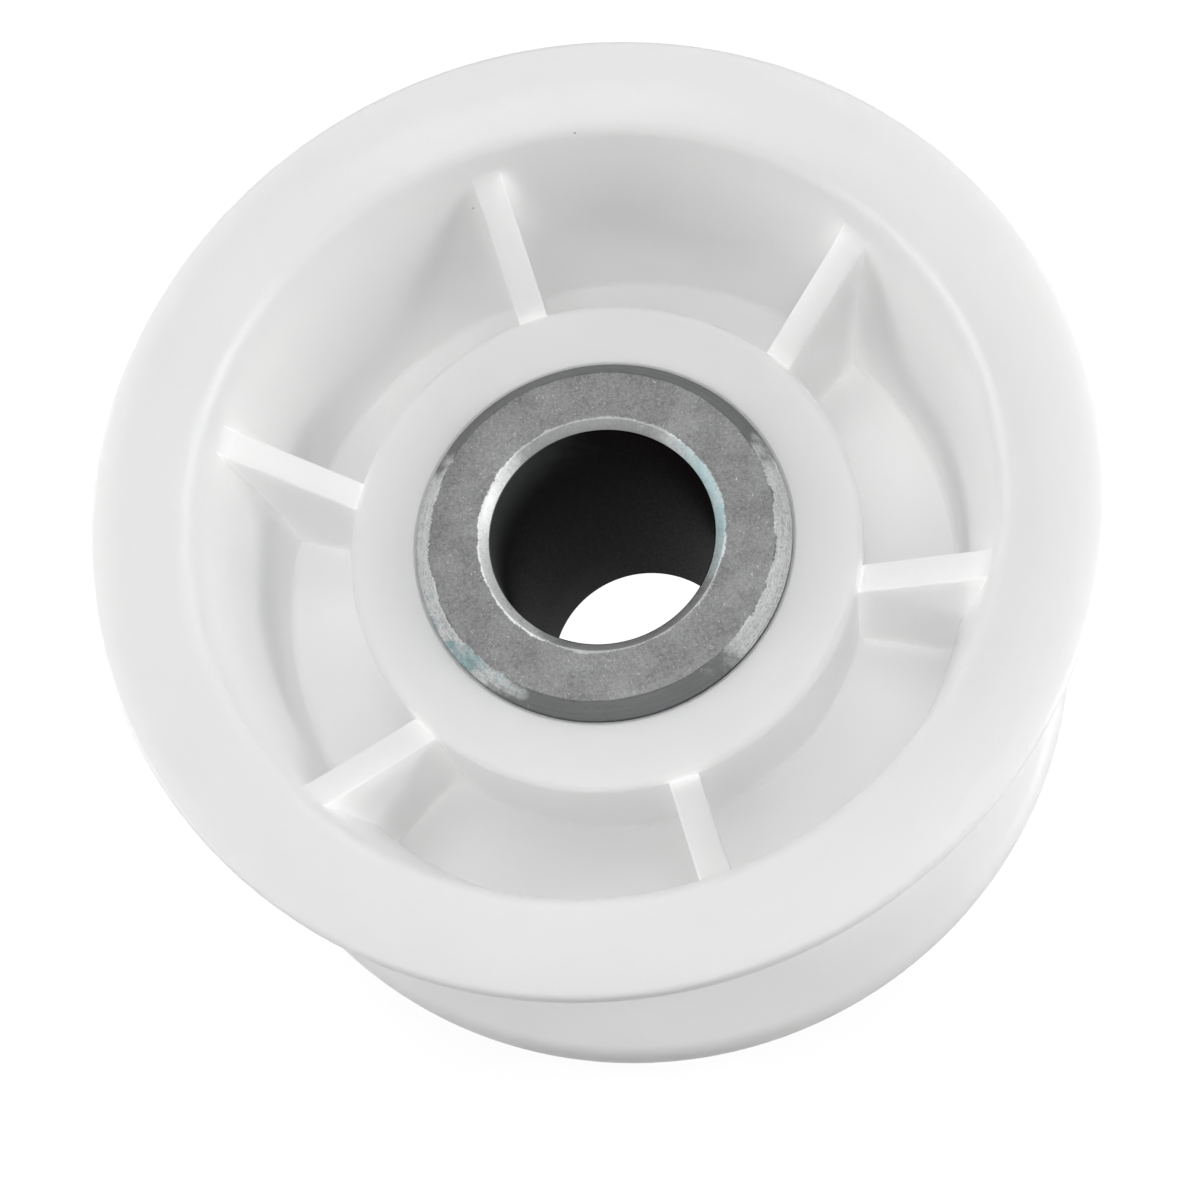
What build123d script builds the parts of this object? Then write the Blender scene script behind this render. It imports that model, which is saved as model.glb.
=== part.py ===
from build123d import *
import os

# Idler pulley for a dryer's drum belt: a moulded wheel pressed onto a sintered bush.
# Millimetres. The pulley stands on the rear end of its bush with its axis on Z,
# and the origin is on the axis at that end. The deep side of the wheel is its front, +Z.

# Bush
bore_radius = 6.35
bush_wall = 4.3
bush_length = 26.0
bush_rim_chamfer = 0.9
bush_bore_chamfer = 0.55

# Hub, with the bush standing out of it by the same amount at both ends
press_clearance = 0.0
hub_wall = 3.9
hub_length = 24.0
hub_chamfer = 0.35
seat_lead_in = 0.45

# Belt seat and flanges
seat_radius = 22.6
flange_height = 4.4
flange_taper = 15.0
flange_tip_width = 1.6
flange_tip_chamfer = 0.45
seat_bevel = 0.6
rim_width = 26.4
rim_wall = 2.4
hub_recess = 8.2

# Web between hub and rim, measured from the front face of the rim
web_depth = 17.0
web_thickness = 2.5

# Front pocket wall: a straight band above the web, a drafted wall, then a soft lip
straight_band = 4.8
wall_draft = 8.0
lip_round = 1.2
flange_crown = 6.0
crown_angle = 25.0
flange_land = 2.1

# Rear pocket wall
rear_mouth_step = 1.0
rear_lip_chamfer = 0.8

# Ribs: each edge runs from just below the hub's face to just below the flange's face
rib_count = 6
rib_thickness = 1.7
rib_hub_drop = 0.5
rib_rim_drop = 3.8
rear_rib_hub_drop = 3.2
rear_rib_rim_drop = 2.0
rib_root = 0.6

bush_radius = bore_radius + bush_wall
bush_seat_radius = bush_radius + press_clearance
hub_radius = bush_seat_radius + hub_wall
hub_bottom = (bush_length - hub_length) / 2
hub_top = hub_bottom + hub_length
rim_top = hub_top + hub_recess
rim_bottom = rim_top - rim_width
web_top = rim_top - web_depth
web_bottom = web_top - web_thickness
pocket_radius = seat_radius - rim_wall
flange_radius = seat_radius + flange_height
rib_end_radius = seat_radius - rib_root
hub_middle_radius = (bush_seat_radius + hub_radius) / 2
rim_middle_radius = (pocket_radius + seat_radius) / 2


# Sintered bush: a plain sleeve, chamfered inside and out at both ends
with BuildPart() as bush:
    Cylinder(bush_radius, bush_length, align=(Align.CENTER, Align.CENTER, Align.MIN))
    Hole(bore_radius)
    end_circles = bush.edges().filter_by(GeomType.CIRCLE)
    chamfer(end_circles.group_by(SortBy.RADIUS)[-1], bush_rim_chamfer)
    end_circles = bush.edges().filter_by(GeomType.CIRCLE)
    chamfer(end_circles.group_by(SortBy.RADIUS)[0], bush_bore_chamfer)


# Moulded wheel
with BuildPart() as wheel:

    # Rim: belt seat between two tapered flanges, with the pocket walls inside it
    with BuildSketch(Plane.XZ) as rim_section:
        with BuildLine():
            crown = JernArc((flange_radius - flange_land, rim_top), (-1, 0), flange_crown, crown_angle)
            lip = JernArc(crown @ 1, crown % 1, lip_round, 90 - wall_draft - crown_angle)
            Polyline(
                lip @ 1,
                (pocket_radius, web_top + straight_band),
                (pocket_radius, web_bottom),
                (pocket_radius + rear_mouth_step, rim_bottom),
                (flange_radius, rim_bottom),
                (flange_radius, rim_bottom + flange_tip_width),
            )
            front_slope = PolarLine(
                (flange_radius, rim_top - flange_tip_width),
                flange_height,
                180 + flange_taper,
                length_mode=LengthMode.HORIZONTAL,
            )
            rear_slope = PolarLine(
                (flange_radius, rim_bottom + flange_tip_width),
                flange_height,
                180 - flange_taper,
                length_mode=LengthMode.HORIZONTAL,
            )
            Line(front_slope @ 1, rear_slope @ 1)
            Polyline(
                (flange_radius, rim_top - flange_tip_width),
                (flange_radius, rim_top),
                crown @ 0,
            )
        make_face()
        chamfer(rim_section.vertices().group_by(Axis.X)[-1], flange_tip_chamfer)
        seat_corners = rim_section.vertices().filter_by(
            lambda corner: abs(corner.X - seat_radius) < 1e-6
        )
        chamfer(seat_corners, seat_bevel)
        rear_lip = rim_section.vertices().group_by(Axis.Y)[0].sort_by(Axis.X)[0]
        chamfer(rear_lip, rear_lip_chamfer)
    revolve(axis=Axis.Z)

    # Hub: a sleeve with a lead-in for the bush at each mouth and bevelled outer rims
    with BuildSketch(Plane.XZ) as hub_section:
        with Locations((hub_middle_radius, hub_bottom)):
            Rectangle(hub_wall, hub_length, align=(Align.CENTER, Align.MIN))
        chamfer(hub_section.vertices().group_by(Axis.X)[0], seat_lead_in)
        chamfer(hub_section.vertices().group_by(Axis.X)[-1], hub_chamfer)
    revolve(axis=Axis.Z)

    # Web: a flat ring from inside the hub's wall to inside the rim's wall
    with BuildSketch(Plane.XY.offset(web_bottom)):
        Circle(rim_middle_radius)
        Circle(hub_middle_radius, mode=Mode.SUBTRACT)
    extrude(amount=web_thickness)

    # Ribs, the same blades in front of the web and behind it
    for rib in range(rib_count):
        with BuildSketch(Plane.XZ.rotated((0, 0, rib * 360 / rib_count))):
            with BuildLine():
                Polyline(
                    (hub_middle_radius, hub_top - rib_hub_drop),
                    (hub_radius, hub_top - rib_hub_drop),
                    (rib_end_radius, rim_top - rib_rim_drop),
                    (rib_end_radius, rim_bottom + rear_rib_rim_drop),
                    (hub_radius, hub_bottom + rear_rib_hub_drop),
                    (hub_middle_radius, hub_bottom + rear_rib_hub_drop),
                    close=True,
                )
            make_face()
        extrude(amount=rib_thickness / 2, both=True)


os.makedirs("parts", exist_ok=True)
wheel.part.label = "moulded_wheel"
bush.part.label = "sintered_bush"
export_step(wheel.part, "parts/moulded_wheel.step")
export_step(bush.part, "parts/sintered_bush.step")
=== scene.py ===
import bpy
from math import atan2, cos, pi, radians, sin, tan
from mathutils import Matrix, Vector


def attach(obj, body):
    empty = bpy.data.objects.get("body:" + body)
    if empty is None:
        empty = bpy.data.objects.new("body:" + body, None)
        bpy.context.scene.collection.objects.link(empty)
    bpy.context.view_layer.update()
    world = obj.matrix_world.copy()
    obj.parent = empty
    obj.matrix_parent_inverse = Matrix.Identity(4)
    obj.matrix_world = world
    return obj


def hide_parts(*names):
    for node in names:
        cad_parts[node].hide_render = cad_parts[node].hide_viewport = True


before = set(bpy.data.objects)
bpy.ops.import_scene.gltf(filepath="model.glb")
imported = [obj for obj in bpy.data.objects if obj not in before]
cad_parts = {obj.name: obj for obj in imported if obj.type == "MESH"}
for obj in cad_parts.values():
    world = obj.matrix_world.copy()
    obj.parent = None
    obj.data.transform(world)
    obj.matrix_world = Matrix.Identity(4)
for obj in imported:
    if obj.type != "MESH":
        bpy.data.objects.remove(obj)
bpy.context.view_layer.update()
mm = 0.001  # every size below is in millimetres
weld = 0.001 * mm  # points closer than this become one
smoothAngle = 24  # degrees: flatter edges than this are shaded smooth

print("stage: frame loaded")


# General helpers

def deselectAll():
    if bpy.context.object and bpy.context.object.mode != "OBJECT":
        bpy.ops.object.mode_set(mode="OBJECT")
    bpy.ops.object.select_all(action="DESELECT")


def makeActive(obj):
    deselectAll()
    obj.select_set(True)
    bpy.context.view_layer.objects.active = obj


def triangleCount(obj):
    return sum(len(p.vertices) - 2 for p in obj.data.polygons)


# Camera, at the photograph's viewing angle

cameraSetup = {
    "place": (24.127, -38.137, 141.192),
    "turn": (18.453, 7.222, 13.490),  # degrees
    "lens": 66.47,
    "sensor": 36.0,
    "nearest": 5.0,
    "farthest": 5000.0,
}


def makeCamera(setup):
    data = bpy.data.cameras.new("photoCamera")
    data.lens = setup["lens"]
    data.sensor_width = setup["sensor"]
    data.clip_start = setup["nearest"] * mm
    data.clip_end = setup["farthest"] * mm
    camera = bpy.data.objects.new("photoCamera", data)
    camera.location = [v * mm for v in setup["place"]]
    camera.rotation_euler = [radians(v) for v in setup["turn"]]
    bpy.context.scene.collection.objects.link(camera)
    bpy.context.scene.camera = camera
    bpy.context.view_layer.update()


makeCamera(cameraSetup)
print("stage: camera in place")


def bearingToTurn(bearing):
    # a bearing in the photograph (0 right, 90 down) as an angle round the pulley's axis
    return radians(cameraSetup["turn"][2] - bearing)


# Node helpers

def newMaterial(name):
    material = bpy.data.materials.new(name)
    material.use_nodes = True
    material.node_tree.nodes.clear()
    return material, material.node_tree


def addNode(tree, kind, values=(), **settings):
    node = tree.nodes.new(kind)
    for key, value in settings.items():
        setattr(node, key, value)
    for key, value in values:
        node.inputs[key].default_value = value
    return node


def calc(tree, operation, first, second=None, clamp=False):
    node = addNode(tree, "ShaderNodeMath", operation=operation, use_clamp=clamp)
    for socket, value in zip(node.inputs, (first, second)):
        if value is None:
            continue
        if isinstance(value, (int, float)):
            socket.default_value = value
        else:
            tree.links.new(value, socket)
    return node.outputs[0]


def mapRange(tree, value, low, high, toLow=0.0, toHigh=1.0, smooth=True):
    node = addNode(tree, "ShaderNodeMapRange", (
        ("From Min", low), ("From Max", high), ("To Min", toLow), ("To Max", toHigh)))
    node.interpolation_type = "SMOOTHSTEP" if smooth else "LINEAR"
    tree.links.new(value, node.inputs["Value"])
    return node.outputs["Result"]


def noise(tree, coords, scale, detail=3.0, roughness=0.5, distortion=0.0):
    node = addNode(tree, "ShaderNodeTexNoise", (
        ("Scale", scale), ("Detail", detail),
        ("Roughness", roughness), ("Distortion", distortion)))
    tree.links.new(coords, node.inputs["Vector"])
    return node.outputs["Fac"]


def mixColour(tree, factor, first, second):
    node = addNode(tree, "ShaderNodeMix", data_type="RGBA")
    for place, value in ((0, factor), (6, first), (7, second)):
        if isinstance(value, tuple):
            node.inputs[place].default_value = (*value, 1.0)
        else:
            tree.links.new(value, node.inputs[place])
    return node.outputs[2]


def mixNumber(tree, factor, first, second):
    node = addNode(tree, "ShaderNodeMix", data_type="FLOAT")
    for place, value in ((0, factor), (2, first), (3, second)):
        tree.links.new(value, node.inputs[place])
    return node.outputs[0]


def bump(tree, height, strength, distance, normal=None):
    node = addNode(tree, "ShaderNodeBump", (("Strength", strength), ("Distance", distance)))
    tree.links.new(height, node.inputs["Height"])
    if normal is not None:
        tree.links.new(normal, node.inputs["Normal"])
    return node.outputs["Normal"]


def finishMaterial(tree, shader, colour=None, roughness=None, normal=None):
    for key, value in (("Base Color", colour), ("Roughness", roughness), ("Normal", normal)):
        if value is not None:
            tree.links.new(value, shader.inputs[key])
    output = addNode(tree, "ShaderNodeOutputMaterial")
    tree.links.new(shader.outputs[0], output.inputs["Surface"])


# Shape helpers

def arcPoints(centre, radius, start, end, steps):
    return [
        (centre[0] + radius * cos(radians(start + (end - start) * i / steps)),
         centre[1] + radius * sin(radians(start + (end - start) * i / steps)))
        for i in range(steps + 1)
    ]


def roundCorner(before, corner, after, radius, steps):
    corner = Vector(corner)
    toBefore = (Vector(before) - corner).normalized()
    toAfter = (Vector(after) - corner).normalized()
    half = toBefore.angle(toAfter) / 2
    reach = radius / tan(half)
    middle = corner + (toBefore + toAfter).normalized() * (radius / sin(half))
    first = corner + toBefore * reach
    last = corner + toAfter * reach
    startAngle = atan2(first.y - middle.y, first.x - middle.x)
    endAngle = atan2(last.y - middle.y, last.x - middle.x)
    sweep = (endAngle - startAngle + pi) % (2 * pi) - pi
    return [
        (middle.x + radius * cos(startAngle + sweep * i / steps),
         middle.y + radius * sin(startAngle + sweep * i / steps))
        for i in range(steps + 1)
    ]


def bevelCorner(before, corner, after, width):
    corner = Vector(corner)
    toBefore = (Vector(before) - corner).normalized()
    toAfter = (Vector(after) - corner).normalized()
    return [tuple(corner + toBefore * width), tuple(corner + toAfter * width)]


def drawRound(name, points, segments):
    # draws a closed section of (radius, height) points right round the axis
    deselectAll()
    radius, height = points[0]
    bpy.ops.mesh.primitive_circle_add(
        vertices=segments, radius=radius * mm, location=(0, 0, height * mm))
    body = bpy.context.object
    body.name = name
    body.data.name = name
    bpy.ops.object.transform_apply(location=True, rotation=True, scale=True)
    bpy.ops.object.mode_set(mode="EDIT")
    bpy.ops.mesh.select_all(action="SELECT")
    for nextRadius, nextHeight in points[1:] + points[:1]:
        bpy.ops.mesh.extrude_region()
        bpy.ops.transform.resize(
            value=(nextRadius / radius, nextRadius / radius, 1),
            center_override=(0, 0, height * mm))
        bpy.ops.transform.translate(value=(0, 0, (nextHeight - height) * mm))
        radius, height = nextRadius, nextHeight
    bpy.ops.mesh.select_all(action="SELECT")
    bpy.ops.mesh.remove_doubles(threshold=weld)
    bpy.ops.mesh.normals_make_consistent(inside=False)
    bpy.ops.object.mode_set(mode="OBJECT")
    return body


# White nylon of the wheel

nylon = {
    "white": (0.97, 0.97, 0.968),
    "shade": (0.95, 0.952, 0.952),
    "cloudSize": 9.0,
    "cloudSpan": (0.35, 0.68),
    "roughness": (0.38, 0.47),
    "ior": 1.5,
    "scatter": 0.8,
    "scatterDepth": (1.6, 1.6, 1.55),
    "grainSize": 0.35,
    "grainSpan": (0.3, 0.7),
    "grainHeight": 0.004,
    "grainStrength": 0.35,
    "speck": (0.5, 0.49, 0.48),
    "specks": ((-5.75, 21.03, 32.1, 0.08), (-11.7, 17.61, 27.73, 0.08)),  # place, radius
    "speckEdge": (0.4, 1.3),  # where a speck starts to fade and ends, in its radii
}


def makeNylon(look):
    material, tree = newMaterial("whiteNylon")
    coords = addNode(tree, "ShaderNodeTexCoord").outputs["Object"]
    clouds = noise(tree, coords, 1 / (look["cloudSize"] * mm), detail=4.0, roughness=0.55)
    colour = mixColour(
        tree, mapRange(tree, clouds, *look["cloudSpan"]), look["white"], look["shade"])
    grain = noise(tree, coords, 1 / (look["grainSize"] * mm), detail=5.0, roughness=0.6)
    fadeStart, fadeEnd = look["speckEdge"]
    for x, y, z, radius in look["specks"]:
        away = addNode(tree, "ShaderNodeVectorMath", operation="DISTANCE")
        tree.links.new(coords, away.inputs[0])
        away.inputs[1].default_value = (x * mm, y * mm, z * mm)
        inSpeck = mapRange(
            tree, away.outputs["Value"],
            fadeStart * radius * mm, fadeEnd * radius * mm, 1.0, 0.0)
        colour = mixColour(tree, inSpeck, colour, look["speck"])
    shader = addNode(tree, "ShaderNodeBsdfPrincipled", (
        ("IOR", look["ior"]),
        ("Subsurface Weight", look["scatter"]),
        ("Subsurface Radius", look["scatterDepth"]),
        ("Subsurface Scale", mm),
    ))
    shader.subsurface_method = "BURLEY"
    rough = mapRange(tree, grain, *look["grainSpan"], *look["roughness"])
    normal = bump(tree, grain, look["grainStrength"], look["grainHeight"] * mm)
    finishMaterial(tree, shader, colour, rough, normal)
    return material


# Moulded wheel: one section drawn round the axis, with the ribs joined to it

wheel = {
    "segments": 240,
    "boreSeat": 10.65,
    "leadIn": 0.2,
    "hubRadius": 14.55,
    "hubRound": 0.45,
    "hubTop": 25.0,
    "hubBottom": 1.0,
    "webTop": 16.2,
    "webBottom": 13.7,
    "webRound": 0.35,
    "pocketRadius": 20.2,
    "bandTop": 21.0,
    "draft": 8.0,  # degrees
    "crownStart": 24.9,
    "crownRadius": 6.0,
    "crownAngle": 25.0,  # degrees
    "crownSteps": 8,
    "lipRadius": 1.2,
    "lipSteps": 10,
    "rimTop": 33.2,
    "rimBottom": 6.8,
    "flangeRadius": 27.0,
    "tipWidth": 1.6,
    "tipOuterRound": 0.3,
    "tipInnerRound": 1.1,
    "seatRadius": 22.6,
    "seatRound": 1.0,
    "taper": 15.0,  # degrees
    "rearMouth": 21.2,
    "rearLip": 0.9,
}

ribs = {
    "count": 6,
    "thickness": 1.7,
    "inner": 12.6,
    "outer": 22.0,
    "hubFront": 24.5,
    "rimFront": 30.35,
    "hubRear": 4.2,
    "rimRear": 8.8,
    "rootRound": 2.0,
    "rootSteps": 8,
    "rootSink": 0.1,  # how much higher the blade is inside the rim's wall
    "edgeRound": 0.16,
    "edgeSteps": 3,
    "leans": (2.4, 0.0, 0.0, 0.0, 0.0, 0.9),  # degrees off the even spacing, as photographed
}


def lipPoints(size):
    # soft front lip: a tight turn out of the pocket, then a slow crown on the flange's face
    slow, tight = size["crownRadius"], size["lipRadius"]
    crownEnd = 90 + size["crownAngle"]
    crownCentre = (size["crownStart"], size["rimTop"] - slow)
    lipCentre = (
        crownCentre[0] - (slow - tight) * sin(radians(size["crownAngle"])),
        crownCentre[1] + (slow - tight) * cos(radians(size["crownAngle"])),
    )
    lip = arcPoints(lipCentre, tight, crownEnd, 180 - size["draft"], size["lipSteps"])
    crown = arcPoints(crownCentre, slow, 90, crownEnd, size["crownSteps"])
    return lip[::-1] + crown[::-1][1:]


def wheelSection(size):
    rise = (size["flangeRadius"] - size["seatRadius"]) * tan(radians(size["taper"]))
    seat, tip = size["seatRadius"], size["flangeRadius"]
    top, bottom = size["rimTop"], size["rimBottom"]
    # each corner with its width and steps: no width is a sharp corner, no steps a flat bevel
    outline = [
        ((size["boreSeat"], size["hubTop"]), size["leadIn"], 0),
        ((size["hubRadius"], size["hubTop"]), size["hubRound"], 6),
        ((size["hubRadius"], size["webTop"]), size["webRound"], 4),
        ((size["pocketRadius"], size["webTop"]), size["webRound"], 4),
        ((size["pocketRadius"], size["bandTop"]), 0, 0),
        *[(point, 0, 0) for point in lipPoints(size)],
        ((tip, top), size["tipOuterRound"], 5),
        ((tip, top - size["tipWidth"]), size["tipInnerRound"], 8),
        ((seat, top - size["tipWidth"] - rise), size["seatRound"], 6),
        ((seat, bottom + size["tipWidth"] + rise), size["seatRound"], 6),
        ((tip, bottom + size["tipWidth"]), size["tipInnerRound"], 8),
        ((tip, bottom), size["tipOuterRound"], 5),
        ((size["rearMouth"], bottom), size["rearLip"], 8),
        ((size["pocketRadius"], size["webBottom"]), size["webRound"], 4),
        ((size["hubRadius"], size["webBottom"]), size["webRound"], 4),
        ((size["hubRadius"], size["hubBottom"]), size["hubRound"], 6),
        ((size["boreSeat"], size["hubBottom"]), size["leadIn"], 0),
    ]
    points = []
    for i, (corner, width, steps) in enumerate(outline):
        before = outline[i - 1][0]
        after = outline[(i + 1) % len(outline)][0]
        if width == 0:
            points.append(corner)
        elif steps == 0:
            points += bevelCorner(before, corner, after, width)
        else:
            points += roundCorner(before, corner, after, width, steps)
    return points


def ribOutline(size):
    hub = wheel["hubRadius"]
    slope = (size["rimFront"] - size["hubFront"]) / (size["outer"] - hub)
    draft = tan(radians(wheel["draft"]))
    # where the blade's front edge meets the drafted wall of the pocket
    wallBase = wheel["pocketRadius"] - wheel["bandTop"] * draft
    meetZ = (size["hubFront"] + slope * (wallBase - hub)) / (1 - slope * draft)
    meet = (wallBase + meetZ * draft, meetZ)
    up = (wallBase + wheel["rimTop"] * draft, wheel["rimTop"])
    root = roundCorner((hub, size["hubFront"]), meet, up, size["rootRound"], size["rootSteps"])
    return [
        (size["inner"], size["hubRear"]), (hub, size["hubRear"]),
        (size["outer"], size["rimRear"]), (size["outer"], root[-1][1] + size["rootSink"]),
        *reversed(root), (hub, size["hubFront"]), (size["inner"], size["hubFront"]),
    ]


def makeRib(size):
    outline = ribOutline(size)
    deselectAll()
    bpy.ops.mesh.primitive_circle_add(vertices=len(outline), radius=1, fill_type="NGON")
    rib = bpy.context.object
    rib.name = "rib"
    thickness = size["thickness"] * mm
    for vertex, (radius, height) in zip(rib.data.vertices, outline):
        vertex.co = (radius * mm, -thickness / 2, height * mm)
    bpy.ops.object.mode_set(mode="EDIT")
    bpy.ops.mesh.select_all(action="SELECT")
    bpy.ops.mesh.extrude_region()
    bpy.ops.transform.translate(value=(0, thickness, 0))
    bpy.ops.mesh.select_all(action="SELECT")
    bpy.ops.mesh.normals_make_consistent(inside=False)
    bpy.ops.mesh.select_mode(type="EDGE")
    bpy.ops.mesh.select_all(action="DESELECT")
    bpy.ops.object.mode_set(mode="OBJECT")
    for edge in rib.data.edges:  # the long edges of both sides, front and rear
        a, b = (rib.data.vertices[i].co for i in edge.vertices)
        edge.select = abs(a.x - b.x) > weld and abs(a.y - b.y) < weld
    bpy.ops.object.mode_set(mode="EDIT")
    bpy.ops.mesh.bevel(
        offset=size["edgeRound"] * mm, segments=size["edgeSteps"], affect="EDGES")
    bpy.ops.object.mode_set(mode="OBJECT")
    return rib


def makeRibs(size):
    first = makeRib(size)
    blades = []
    for i, lean in enumerate(size["leans"]):
        makeActive(first)
        bpy.ops.object.duplicate()
        bpy.ops.transform.rotate(
            value=-radians(360 / size["count"] * i + lean),
            orient_axis="Z", center_override=(0, 0, 0))
        bpy.ops.object.transform_apply(location=True, rotation=True, scale=True)
        blades.append(bpy.context.object)
    bpy.data.objects.remove(first)
    makeActive(blades[0])
    for blade in blades:
        blade.select_set(True)
    bpy.ops.object.join()
    return bpy.context.object


def makeWheel():
    body = drawRound("nylonWheel", wheelSection(wheel), wheel["segments"])
    blades = makeRibs(ribs)
    makeActive(body)
    union = body.modifiers.new("joinRibs", "BOOLEAN")
    union.operation = "UNION"
    union.solver = "EXACT"
    union.object = blades
    bpy.ops.object.modifier_apply(modifier=union.name)
    bpy.data.objects.remove(blades)
    makeActive(body)
    bpy.ops.object.mode_set(mode="EDIT")
    bpy.ops.mesh.select_all(action="SELECT")
    bpy.ops.mesh.remove_doubles(threshold=weld)
    bpy.ops.mesh.select_face_by_sides(number=4, type="GREATER")
    bpy.ops.mesh.quads_convert_to_tris(quad_method="BEAUTY", ngon_method="BEAUTY")
    bpy.ops.object.mode_set(mode="OBJECT")
    bpy.ops.object.shade_smooth_by_angle(angle=radians(smoothAngle))
    return body


wheelPiece = makeWheel()
wheelPiece.data.materials.append(makeNylon(nylon))
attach(wheelPiece, "root")
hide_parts("moulded_wheel")
print("stage: wheel made,", triangleCount(wheelPiece), "triangles")


# Bush: a plain sleeve of sintered metal with chamfered, slightly softened mouths

bush = {
    "segments": 220,
    "boreRadius": 6.35,
    "boreChamfer": 0.55,
    "outerRadius": 10.65,
    "rimChamfer": 0.9,
    "length": 26.0,
    "edgeRound": 0.07,
    "edgeSteps": 3,
}

sinter = {
    # colours
    "face": (0.215, 0.216, 0.217),
    "pore": (0.125, 0.125, 0.127),
    # bright colour of the chamfer arcs: burnished metal, and painted highlights where the side
    # lamps reflect
    "burnishAndSheen": (0.74, 0.75, 0.75),
    "film": (0.34, 0.50, 0.52),
    "edge": (0.188, 0.193, 0.194),
    "gouge": (0.10, 0.10, 0.105),
    "wall": (0.13, 0.14, 0.15),
    # bore: near-black, painted shade deep in the hole
    "bore": (0.005, 0.003, 0.0035),
    # grey of the painted reflection on the bore's left wall near its mouth
    "paintedBoreSheen": (0.075, 0.08, 0.08),
    # shine: roughness between two limits, and metallic of the face and of the bright arcs,
    # burnished metal with painted highlights
    "faceRoughness": (0.44, 0.58),
    "burnishRoughness": (0.34, 0.48),
    "metallic": (0.92, 0.5),
    "specular": 0.012,
    # sizes and strengths of the patterns
    "grainSize": 0.16,
    "grainHeight": 0.02,
    "crinkleSize": 0.24,
    "crinkleHeight": 0.03,
    "bumpStrength": 0.6,
    "wormSize": 0.25,
    "sparkSize": 0.15,
    "sparkShare": 0.5,
    "cloudSize": 2.2,
    "cloudShare": 0.09,
    "patchSize": 1.6,
    "marksAcross": 7.0,
    "marksAround": 2.4,
    "boreRimShine": 0.3,
    "leastScuff": 0.5,
    # how far grain and patches move the edges of the bright chamfers, burnish with painted
    # highlights, and of the arcs
    "raggedGrain": 0.4,
    "raggedPatch": 0.5,
    "raggedArc": 0.5,
    # from where to where, in millimetres from the edge or wall named, one thing becomes another
    "boreSkin": (0.04, 0.08),
    "wallSkin": (-0.08, -0.04),
    "wallStart": (-0.05, 0.05),
    "rimStart": (-0.03, 0.05),
    "boreRimEnd": (0.06, 0.14),
    "gougeWidth": (0.015, 0.06),
    "gougeShare": 0.75,
    # painted reflection in the bore: the depth over which it fades out
    "boreSheenDepth": (0.8, 6.5),
    # arcs: bearing in the photograph (0 right, 90 down), degrees each way, softness
    # rim and bore arcs: partly real burnish, partly painted highlights at the side lamps'
    # bearings, left and right
    "rimArcs": ((10.0, 38.0, 0.1), (163.0, 46.0, 0.1)),
    "boreArcs": ((-19.0, 42.0, 0.1), (172.0, 54.0, 0.1)),
    "boreFilm": (-16.0, 34.0, 0.25),
    "rimFilm": (137.0, 9.0, 0.06),
    "gougeArcs": ((275.0, 60.0, 0.1), (70.0, 20.0, 0.1)),
    # painted reflection in the bore: where it lies round the axis
    "boreSheenArc": (190.0, 62.0, 0.5),
    # the part of each pattern's range over which it takes effect
    "grainSpan": (0.3, 0.7),
    "poreSpan": (0.38, 0.6),
    "cloudSpan": (0.3, 0.7),
    "sparkSpan": (0.6, 0.74),
    "scuffSpan": (0.36, 0.58),
    "markSpan": (0.35, 0.65),
    "gougeSpan": (0.4, 0.55),
}


def roundMeasures(tree, coords):
    # distance from the axis, distance to the nearer end, and angle round the axis
    parts = addNode(tree, "ShaderNodeSeparateXYZ")
    tree.links.new(coords, parts.inputs[0])
    flat = addNode(tree, "ShaderNodeVectorMath", operation="MULTIPLY")
    flat.inputs[1].default_value = (1, 1, 0)
    tree.links.new(coords, flat.inputs[0])
    length = addNode(tree, "ShaderNodeVectorMath", operation="LENGTH")
    tree.links.new(flat.outputs[0], length.inputs[0])
    half = bush["length"] / 2 * mm
    fromMiddle = calc(tree, "ABSOLUTE", calc(tree, "SUBTRACT", parts.outputs["Z"], half))
    toEnd = calc(tree, "SUBTRACT", half, fromMiddle)
    turn = calc(tree, "ARCTAN2", parts.outputs["Y"], parts.outputs["X"])
    return length.outputs["Value"], toEnd, turn


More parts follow.
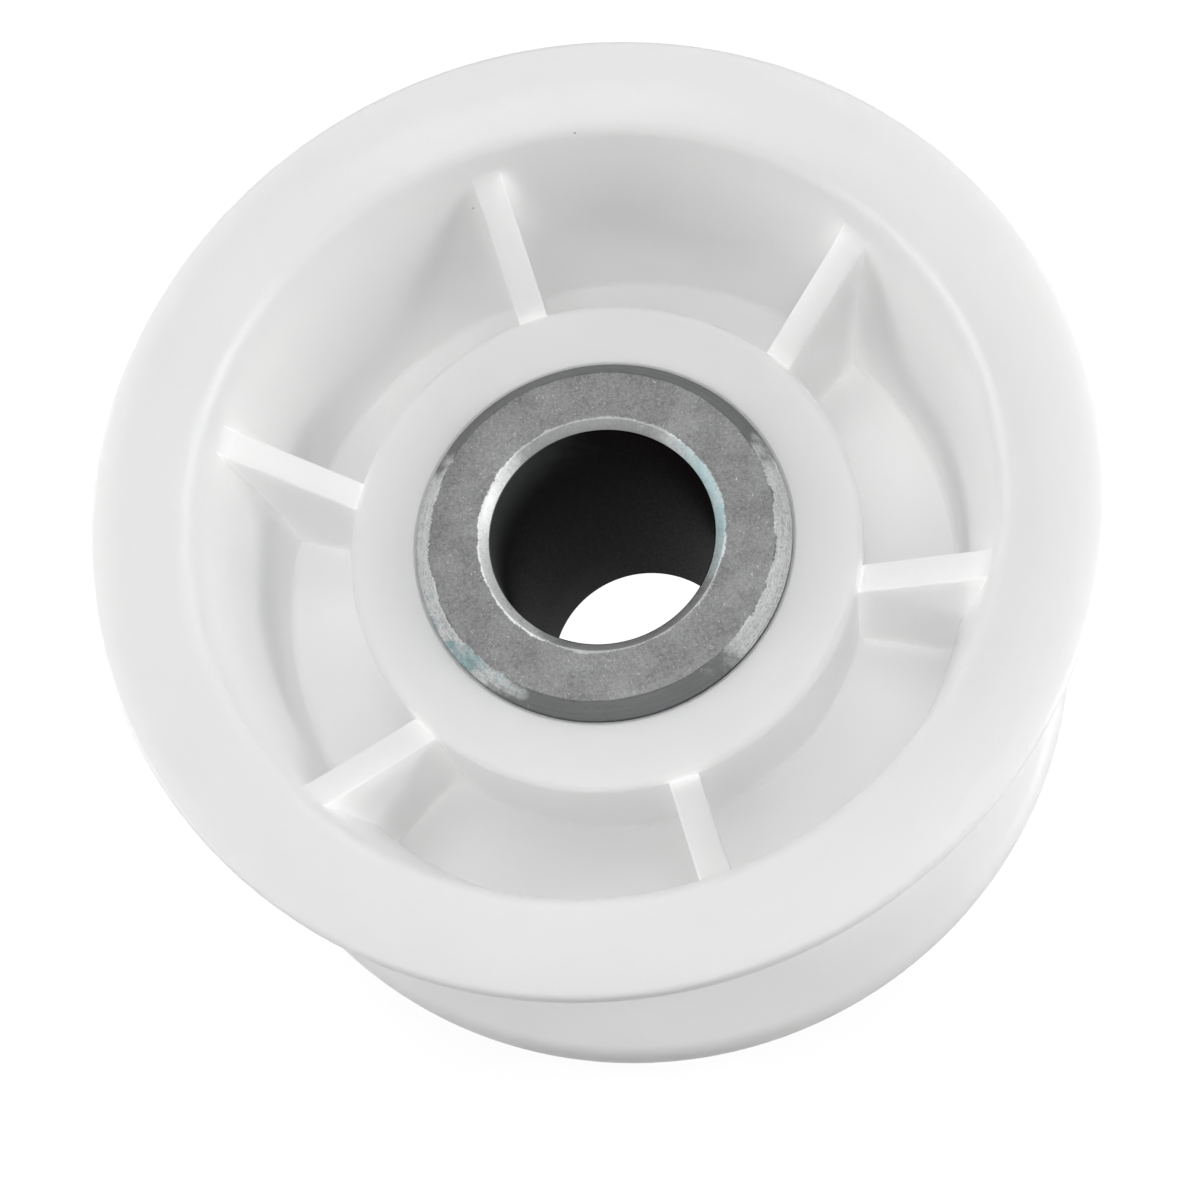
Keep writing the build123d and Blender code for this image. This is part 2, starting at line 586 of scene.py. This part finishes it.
def makeSinter(look):
    material, tree = newMaterial("sinteredMetal")
    coords = addNode(tree, "ShaderNodeTexCoord").outputs["Object"]
    radius, toEnd, turn = roundMeasures(tree, coords)

    def plus(first, second):
        return calc(tree, "ADD", first, second)

    def minus(first, second):
        return calc(tree, "SUBTRACT", first, second)

    def times(first, second):
        return calc(tree, "MULTIPLY", first, second)

    def highest(first, second):
        return calc(tree, "MAXIMUM", first, second)

    def pattern(size, detail, roughness, distortion=0.0):
        return noise(tree, coords, 1 / (look[size] * mm), detail, roughness, distortion)

    def span(value, key, toLow=0.0, toHigh=1.0):
        return mapRange(tree, value, *look[key], toLow, toHigh)

    def pastEdge(value, edge, key, toLow=0.0, toHigh=1.0):
        low, high = look[key]
        return mapRange(tree, value, (edge + low) * mm, (edge + high) * mm, toLow, toHigh)

    def blend(factor, first, second):
        return mixColour(tree, factor, first, second)

    inBore = pastEdge(radius, bush["boreRadius"], "boreSkin", 1.0, 0.0)

    # grains and dark pores over the pressed surface
    grain = pattern("grainSize", 6.0, 0.65)
    worms = pattern("wormSize", 3.0, 0.65, 1.6)
    mottle = plus(times(grain, 0.5), times(worms, 0.5))
    pressed = blend(span(mottle, "poreSpan"), look["pore"], look["face"])
    clouds = span(pattern("cloudSize", 3.0, 0.5), "cloudSpan", 0.0, look["cloudShare"])
    pressed = blend(clouds, pressed, look["burnishAndSheen"])
    # sparks: small bright grains of metal, partly painted glints
    sparks = span(pattern("sparkSize", 3.0, 0.7, 0.8), "sparkSpan", 0.0, look["sparkShare"])
    pressed = blend(sparks, pressed, look["burnishAndSheen"])

    # ragged edge between the pressed face and the bright chamfers, burnish with painted
    # highlights
    patchy = pattern("patchSize", 4.0, 0.6)
    evenPatch = minus(patchy, 0.5)
    ragged = plus(
        times(minus(grain, 0.5), look["raggedGrain"] * mm),
        times(evenPatch, look["raggedPatch"] * mm))
    edge = plus(radius, ragged)
    rimInner = bush["outerRadius"] - bush["rimChamfer"]
    boreOuter = bush["boreRadius"] + bush["boreChamfer"]
    rim = pastEdge(edge, rimInner, "rimStart")
    boreRim = pastEdge(edge, boreOuter, "boreRimEnd", 1.0, 0.0)

    # turning marks run round the axis: fine across the chamfer, long along it
    around = addNode(tree, "ShaderNodeCombineXYZ")
    for place, value in enumerate((
            times(plus(radius, toEnd), look["marksAcross"] / mm),
            times(calc(tree, "COSINE", turn), look["marksAround"]),
            times(calc(tree, "SINE", turn), look["marksAround"]))):
        tree.links.new(value, around.inputs[place])
    marks = noise(tree, around.outputs[0], 1.0, detail=3.0, roughness=0.6)

    raggedArc = times(evenPatch, look["raggedArc"])

    def inArc(bearing, spread, soft):
        away = minus(turn, bearingToTurn(bearing))
        near = plus(calc(tree, "COSINE", away), raggedArc)
        limit = cos(radians(spread))
        return mapRange(tree, near, limit - 0.6 * soft, limit + soft)

    # bright arcs on both chamfers: burnish and painted highlights, placed where the side lamps
    # reflect
    burnishAndSheenMask = None
    for mask, arcs in ((rim, look["rimArcs"]), (boreRim, look["boreArcs"])):
        for arc in arcs:
            patch = times(mask, inArc(*arc))
            burnishAndSheenMask = patch if burnishAndSheenMask is None else highest(burnishAndSheenMask, patch)
    scuffs = plus(times(marks, 0.35), times(worms, 0.65))
    burnishAndSheenMask = times(burnishAndSheenMask, span(scuffs, "scuffSpan", look["leastScuff"], 1.0))
    burnishAndSheenMask = times(burnishAndSheenMask, minus(1.0, inBore))

    # a faint blue-green film on some of the bright arcs
    film = highest(
        times(inArc(*look["boreFilm"]), minus(1.0, rim)),
        times(inArc(*look["rimFilm"]), rim))
    bright = blend(film, look["burnishAndSheen"], look["film"])
    worn = blend(span(marks, "markSpan"), look["edge"], look["face"])
    plain = blend(rim, pressed, worn)
    plain = blend(times(boreRim, look["boreRimShine"]), plain, look["burnishAndSheen"])
    colour = blend(burnishAndSheenMask, plain, bright)

    # a dark tool line where the outer chamfer starts, broken by patches
    offLine = calc(tree, "ABSOLUTE", minus(radius, rimInner * mm))
    gouge = pastEdge(offLine, 0.0, "gougeWidth", look["gougeShare"], 0.0)
    gouge = times(gouge, span(patchy, "gougeSpan"))
    upper, lower = look["gougeArcs"]
    gouge = times(gouge, highest(inArc(*upper), inArc(*lower)))
    colour = blend(gouge, colour, look["gouge"])

    # the sides below the chamfers: darker outside, darkest down the bore, where the near-black
    # is painted shade
    onWall = pastEdge(toEnd, bush["rimChamfer"], "wallStart")
    outside = pastEdge(radius, bush["outerRadius"], "wallSkin")
    colour = blend(times(onWall, outside), colour, look["wall"])
    # painted reflection: a grey sheen just inside the bore's mouth, on the left side, fading
    # deeper in
    boreSheen = times(pastEdge(toEnd, 0.0, "boreSheenDepth", 1.0, 0.0), inArc(*look["boreSheenArc"]))
    colour = blend(inBore, colour, blend(boreSheen, look["bore"], look["paintedBoreSheen"]))

    shader = addNode(tree, "ShaderNodeBsdfPrincipled", (
        ("Specular IOR Level", look["specular"]),))
    metal = mapRange(tree, burnishAndSheenMask, 0.0, 1.0, *look["metallic"], smooth=False)
    tree.links.new(times(minus(1.0, inBore), metal), shader.inputs["Metallic"])
    rough = mixNumber(
        tree, burnishAndSheenMask,
        span(grain, "grainSpan", *look["faceRoughness"]),
        span(grain, "grainSpan", *look["burnishRoughness"]))
    crinkles = times(pattern("crinkleSize", 2.0, 0.5, 2.2), burnishAndSheenMask)
    normal = bump(tree, crinkles, look["bumpStrength"], look["crinkleHeight"] * mm)
    normal = bump(tree, grain, look["bumpStrength"], look["grainHeight"] * mm, normal)
    finishMaterial(tree, shader, colour, rough, normal)
    return material


def makeBush(size):
    bore, outer = size["boreRadius"], size["outerRadius"]
    boreCut, rimCut = size["boreChamfer"], size["rimChamfer"]
    length = size["length"]
    corners = [
        (bore, boreCut), (bore, length - boreCut),
        (bore + boreCut, length), (outer - rimCut, length),
        (outer, length - rimCut), (outer, rimCut),
        (outer - rimCut, 0), (bore + boreCut, 0),
    ]
    points = []
    for i, corner in enumerate(corners):
        after = corners[(i + 1) % len(corners)]
        points += roundCorner(
            corners[i - 1], corner, after, size["edgeRound"], size["edgeSteps"])
    piece = drawRound("sinteredBush", points, size["segments"])
    makeActive(piece)
    bpy.ops.object.shade_smooth_by_angle(angle=radians(smoothAngle))
    return piece


bushPiece = makeBush(bush)
bushPiece.data.materials.append(makeSinter(sinter))
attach(bushPiece, "root")
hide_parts("sintered_bush")
print("stage: bush made,", triangleCount(bushPiece), "triangles")


# Floor

floorSetup = {
    "width": 3000.0,
    "white": (0.42, 0.42, 0.42),
    "cameraGlow": 0.76,
    "boreSpot": (6.8, 7.4),  # under the bore, out to these radii, the floor glows fully
}


def seenDirectly(tree):
    rays = addNode(tree, "ShaderNodeLightPath").outputs
    seen = calc(tree, "ADD", rays["Is Camera Ray"], rays["Is Glossy Ray"], clamp=True)
    return calc(tree, "ADD", seen, rays["Is Transmission Ray"], clamp=True)


def makeFloor(setup):
    deselectAll()
    bpy.ops.mesh.primitive_plane_add(size=setup["width"] * mm, location=(0, 0, 0))
    floor = bpy.context.object
    floor.name = "studioFloor"
    material, tree = newMaterial("paleFloor")
    diffuse = addNode(tree, "ShaderNodeBsdfDiffuse", (("Color", (*setup["white"], 1.0)),))
    coords = addNode(tree, "ShaderNodeTexCoord").outputs["Object"]
    away = addNode(tree, "ShaderNodeVectorMath", operation="LENGTH")
    tree.links.new(coords, away.inputs[0])
    inner, outer = setup["boreSpot"]
    level = mapRange(
        tree, away.outputs["Value"], inner * mm, outer * mm, 1.0, setup["cameraGlow"])
    glow = addNode(tree, "ShaderNodeEmission")
    tree.links.new(
        calc(tree, "MULTIPLY", seenDirectly(tree), level), glow.inputs["Strength"])
    both = addNode(tree, "ShaderNodeAddShader")
    tree.links.new(diffuse.outputs[0], both.inputs[0])
    tree.links.new(glow.outputs[0], both.inputs[1])
    finishMaterial(tree, both)
    floor.data.materials.append(material)


makeFloor(floorSetup)


# Light: a pale world and large soft lamps round the camera

lampSetup = {
    "world": 0.18,
    "backdrop": 0.84,  # as the camera, metal and gloss see it: level with the far floor
    "aim": (0.0, 0.0, 22.0),
    "lamps": [
        # name, bearing in the photograph (0 right, 90 down), distance out, height, width, power
        ("rightBox", 0.0, 140.0, 64.0, 80.0, 0.112),
        ("leftBox", 180.0, 140.0, 66.0, 80.0, 0.097),
        ("topBox", 270.0, 120.0, 96.0, 90.0, 0.023),
        ("frontBox", 90.0, 120.0, 220.0, 110.0, 0.082),
        ("overhead", 270.0, 40.0, 300.0, 150.0, 0.155),
    ],
    # the white pockets need light that bounces often
    "bounces": 16,
    "diffuseBounces": 12,
}


def makeWorld(setup):
    world = bpy.data.worlds.new("studioWorld")
    world.use_nodes = True
    tree = world.node_tree
    background = tree.nodes["Background"]
    background.inputs["Color"].default_value = (1, 1, 1, 1)
    strength = mapRange(
        tree, seenDirectly(tree), 0.0, 1.0, setup["world"], setup["backdrop"], smooth=False)
    tree.links.new(strength, background.inputs["Strength"])
    bpy.context.scene.world = world


def makeLamps(setup):
    aim = Vector(setup["aim"]) * mm
    for name, bearing, out, height, width, power in setup["lamps"]:
        side = bearingToTurn(bearing)
        data = bpy.data.lights.new(name, "AREA")
        data.shape = "DISK"
        data.size = width * mm
        data.energy = power
        lamp = bpy.data.objects.new(name, data)
        lamp.location = Vector((out * cos(side), out * sin(side), height)) * mm
        lamp.rotation_euler = (aim - lamp.location).to_track_quat("-Z", "Y").to_euler()
        bpy.context.scene.collection.objects.link(lamp)


makeWorld(lampSetup)
makeLamps(lampSetup)
bpy.context.scene.view_settings.view_transform = "Standard"
bpy.context.scene.cycles.max_bounces = lampSetup["bounces"]
bpy.context.scene.cycles.diffuse_bounces = lampSetup["diffuseBounces"]
print("stage: floor and lamps in place")
